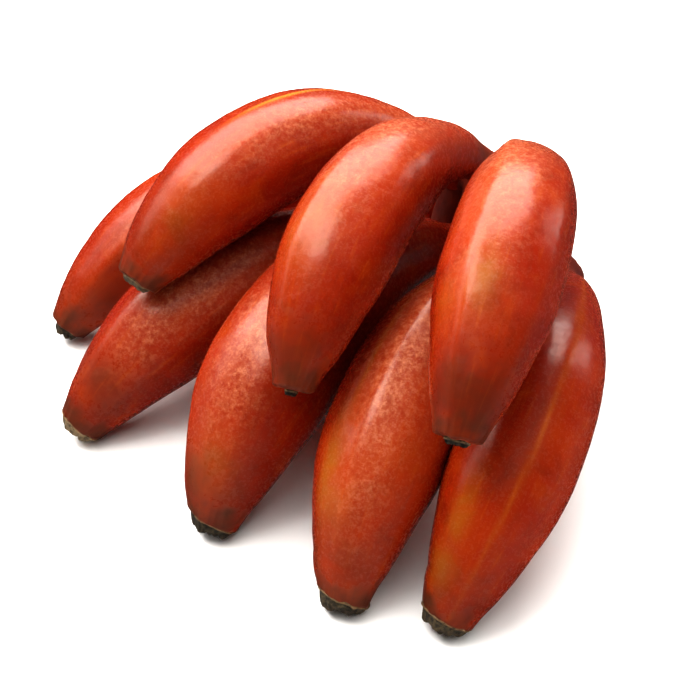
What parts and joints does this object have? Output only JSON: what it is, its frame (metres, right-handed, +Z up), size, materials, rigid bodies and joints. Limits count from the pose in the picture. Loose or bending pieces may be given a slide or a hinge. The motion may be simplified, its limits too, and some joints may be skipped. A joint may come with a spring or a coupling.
{
  "type": "hand of red bananas",
  "caption": "Hand of red bananas lying palm down: plump, curved fingers fan out from one crown in two rows, each ending in a short dried blossom stub. Fruit to pick, carry or set out.",
  "frame": {"origin": "middle of the footprint, on the surface that the hand lies on", "axes": "+Z is up, away from the surface; -Y is the side that most of the blossom ends point to; +X is to the right of someone who looks at the hand from -Y"},
  "size_m": [0.1874, 0.1926, 0.1173],
  "materials": {
    "red_skin": "waxy banana peel, deep red to red-orange with pinkish, speckled ridges",
    "crown_skin": "dull reddish brown rind, with a dry fibrous tan cut face",
    "dried_blossom": "dry, ragged, brown-black remnant of the flower"
  },
  "bodies": {
    "root": {"crown": "crown_skin", "lower_finger_1": "red_skin", "lower_finger_2": "red_skin", "lower_finger_3": "red_skin", "lower_finger_4": "red_skin", "lower_finger_5": "red_skin", "upper_finger_1": "red_skin", "upper_finger_2": "red_skin", "upper_finger_3": "red_skin", "lower_blossom_end_1": "dried_blossom", "lower_blossom_end_2": "dried_blossom", "lower_blossom_end_3": "dried_blossom", "lower_blossom_end_4": "dried_blossom", "lower_blossom_end_5": "dried_blossom", "upper_blossom_end_1": "dried_blossom", "upper_blossom_end_2": "dried_blossom", "upper_blossom_end_3": "dried_blossom"}
  },
  "joints": []
}
